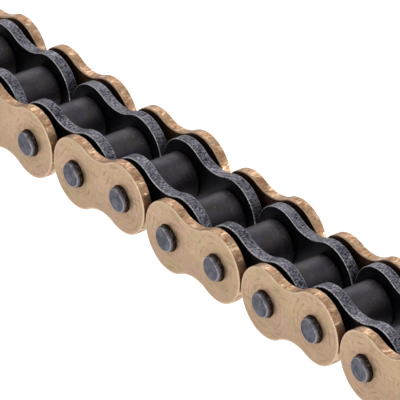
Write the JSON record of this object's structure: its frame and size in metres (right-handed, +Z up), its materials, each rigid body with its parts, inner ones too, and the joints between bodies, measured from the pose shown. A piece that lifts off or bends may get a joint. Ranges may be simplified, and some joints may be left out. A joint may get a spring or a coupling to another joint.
{
  "type": "motorcycle drive chain",
  "caption": "Strand of sealed motorcycle roller chain: gold outer plates, black inner plates, pins, bushes and free rollers on hinged links.",
  "frame": {"origin": "centre of the bounding box's bottom face", "axes": "+X along the strand from its outer end to its inner end, +Y along the pins, +Z up, across the plates' height"},
  "size_m": [0.2054, 0.0244, 0.0178],
  "materials": {
    "outer_plate": "gold-plated steel, satin",
    "inner_plate": "black-blued steel, satin, punched edges",
    "pin": "blue-grey steel, satin",
    "bush": "ground steel",
    "roller": "dark oiled steel, satin",
    "seal_ring": "matt black rubber"
  },
  "bodies": {
    "outer_link_1": {"outer1_plate_front": "outer_plate", "outer1_plate_back": "outer_plate", "outer1_pin_a": "pin", "outer1_pin_b": "pin"},
    "inner_link_1": {"inner1_plate_front": "inner_plate", "inner1_plate_back": "inner_plate", "inner1_bush_a": "bush", "inner1_bush_b": "bush"},
    "outer_link_2": {"outer2_plate_front": "outer_plate", "outer2_plate_back": "outer_plate", "outer2_pin_a": "pin", "outer2_pin_b": "pin"},
    "inner_link_2": {"inner2_plate_front": "inner_plate", "inner2_plate_back": "inner_plate", "inner2_bush_a": "bush", "inner2_bush_b": "bush"},
    "outer_link_3": {"outer3_plate_front": "outer_plate", "outer3_plate_back": "outer_plate", "outer3_pin_a": "pin", "outer3_pin_b": "pin"},
    "inner_link_3": {"inner3_plate_front": "inner_plate", "inner3_plate_back": "inner_plate", "inner3_bush_a": "bush", "inner3_bush_b": "bush"},
    "outer_link_4": {"outer4_plate_front": "outer_plate", "outer4_plate_back": "outer_plate", "outer4_pin_a": "pin", "outer4_pin_b": "pin"},
    "inner_link_4": {"inner4_plate_front": "inner_plate", "inner4_plate_back": "inner_plate", "inner4_bush_a": "bush", "inner4_bush_b": "bush"},
    "outer_link_5": {"outer5_plate_front": "outer_plate", "outer5_plate_back": "outer_plate", "outer5_pin_a": "pin", "outer5_pin_b": "pin"},
    "inner_link_5": {"inner5_plate_front": "inner_plate", "inner5_plate_back": "inner_plate", "inner5_bush_a": "bush", "inner5_bush_b": "bush"},
    "outer_link_6": {"outer6_plate_front": "outer_plate", "outer6_plate_back": "outer_plate", "outer6_pin_a": "pin", "outer6_pin_b": "pin"},
    "inner_link_6": {"inner6_plate_front": "inner_plate", "inner6_plate_back": "inner_plate", "inner6_bush_a": "bush", "inner6_bush_b": "bush"},
    "roller_1a": {"inner1_roller_a": "roller"},
    "roller_1b": {"inner1_roller_b": "roller"},
    "roller_2a": {"inner2_roller_a": "roller"},
    "roller_2b": {"inner2_roller_b": "roller"},
    "roller_3a": {"inner3_roller_a": "roller"},
    "roller_3b": {"inner3_roller_b": "roller"},
    "roller_4a": {"inner4_roller_a": "roller"},
    "roller_4b": {"inner4_roller_b": "roller"},
    "roller_5a": {"inner5_roller_a": "roller"},
    "roller_5b": {"inner5_roller_b": "roller"},
    "roller_6a": {"inner6_roller_a": "roller"},
    "roller_6b": {"inner6_roller_b": "roller"}
  },
  "joints": [
    {"name": "pivot_outer1_inner1", "type": "hinge", "parent": "inner_link_1", "child": "outer_link_1", "pos_m": [-0.07914, 0, 0.01008], "axis": [0, -1, 0], "range_deg": [-31.2, 23.8]},
    {"name": "pivot_inner1_outer2", "type": "hinge", "parent": "outer_link_2", "child": "inner_link_1", "pos_m": [-0.06327, 0, 0.0095], "axis": [0, -1, 0], "range_deg": [-26.9, 28.1]},
    {"name": "pivot_outer2_inner2", "type": "hinge", "parent": "inner_link_2", "child": "outer_link_2", "pos_m": [-0.0474, 0, 0.00908], "axis": [0, -1, 0], "range_deg": [-26.7, 28.3]},
    {"name": "pivot_inner2_outer3", "type": "hinge", "parent": "outer_link_3", "child": "inner_link_2", "pos_m": [-0.03153, 0, 0.00889], "axis": [0, -1, 0], "range_deg": [-22.4, 32.6]},
    {"name": "pivot_outer3_inner3", "type": "hinge", "parent": "inner_link_3", "child": "outer_link_3", "pos_m": [-0.0157, 0, 0.01011], "axis": [0, -1, 0], "range_deg": [-38.8, 16.2]},
    {"name": "pivot_inner3_outer4", "type": "hinge", "parent": "inner_link_3", "child": "outer_link_4", "pos_m": [0.00006, 0, 0.0082], "axis": [0, 1, 0], "range_deg": [-19, 36]},
    {"name": "pivot_outer4_inner4", "type": "hinge", "parent": "outer_link_4", "child": "inner_link_4", "pos_m": [0.01593, 0, 0.00864], "axis": [0, 1, 0], "range_deg": [-32.5, 22.5]},
    {"name": "pivot_inner4_outer5", "type": "hinge", "parent": "inner_link_4", "child": "outer_link_5", "pos_m": [0.03177, 0, 0.0077], "axis": [0, 1, 0], "range_deg": [-18.3, 36.7]},
    {"name": "pivot_outer5_inner5", "type": "hinge", "parent": "outer_link_5", "child": "inner_link_5", "pos_m": [0.04757, 0, 0.0093], "axis": [0, 1, 0], "range_deg": [-37.9, 17.1]},
    {"name": "pivot_inner5_outer6", "type": "hinge", "parent": "inner_link_5", "child": "outer_link_6", "pos_m": [0.06339, 0, 0.00803], "axis": [0, 1, 0], "range_deg": [-19.7, 35.3]},
    {"name": "pivot_outer6_inner6", "type": "hinge", "parent": "outer_link_6", "child": "inner_link_6", "pos_m": [0.07924, 0, 0.00892], "axis": [0, 1, 0], "range_deg": [-32.7, 22.3]},
    {"name": "roller_1a_spin", "type": "hinge", "parent": "inner_link_1", "child": "roller_1a", "pos_m": [-0.07914, 0, 0.01008], "axis": [0, 1, 0], "continuous": true},
    {"name": "roller_1b_spin", "type": "hinge", "parent": "inner_link_1", "child": "roller_1b", "pos_m": [-0.06327, 0, 0.0095], "axis": [0, 1, 0], "continuous": true},
    {"name": "roller_2a_spin", "type": "hinge", "parent": "inner_link_2", "child": "roller_2a", "pos_m": [-0.0474, 0, 0.00908], "axis": [0, 1, 0], "continuous": true},
    {"name": "roller_2b_spin", "type": "hinge", "parent": "inner_link_2", "child": "roller_2b", "pos_m": [-0.03153, 0, 0.00889], "axis": [0, 1, 0], "continuous": true},
    {"name": "roller_3a_spin", "type": "hinge", "parent": "inner_link_3", "child": "roller_3a", "pos_m": [-0.0157, 0, 0.01011], "axis": [0, 1, 0], "continuous": true},
    {"name": "roller_3b_spin", "type": "hinge", "parent": "inner_link_3", "child": "roller_3b", "pos_m": [0.00006, 0, 0.0082], "axis": [0, 1, 0], "continuous": true},
    {"name": "roller_4a_spin", "type": "hinge", "parent": "inner_link_4", "child": "roller_4a", "pos_m": [0.01593, 0, 0.00864], "axis": [0, 1, 0], "continuous": true},
    {"name": "roller_4b_spin", "type": "hinge", "parent": "inner_link_4", "child": "roller_4b", "pos_m": [0.03177, 0, 0.0077], "axis": [0, 1, 0], "continuous": true},
    {"name": "roller_5a_spin", "type": "hinge", "parent": "inner_link_5", "child": "roller_5a", "pos_m": [0.04757, 0, 0.0093], "axis": [0, 1, 0], "continuous": true},
    {"name": "roller_5b_spin", "type": "hinge", "parent": "inner_link_5", "child": "roller_5b", "pos_m": [0.06339, 0, 0.00803], "axis": [0, 1, 0], "continuous": true},
    {"name": "roller_6a_spin", "type": "hinge", "parent": "inner_link_6", "child": "roller_6a", "pos_m": [0.07924, 0, 0.00892], "axis": [0, 1, 0], "continuous": true},
    {"name": "roller_6b_spin", "type": "hinge", "parent": "inner_link_6", "child": "roller_6b", "pos_m": [0.09511, 0, 0.00836], "axis": [0, 1, 0], "continuous": true}
  ]
}
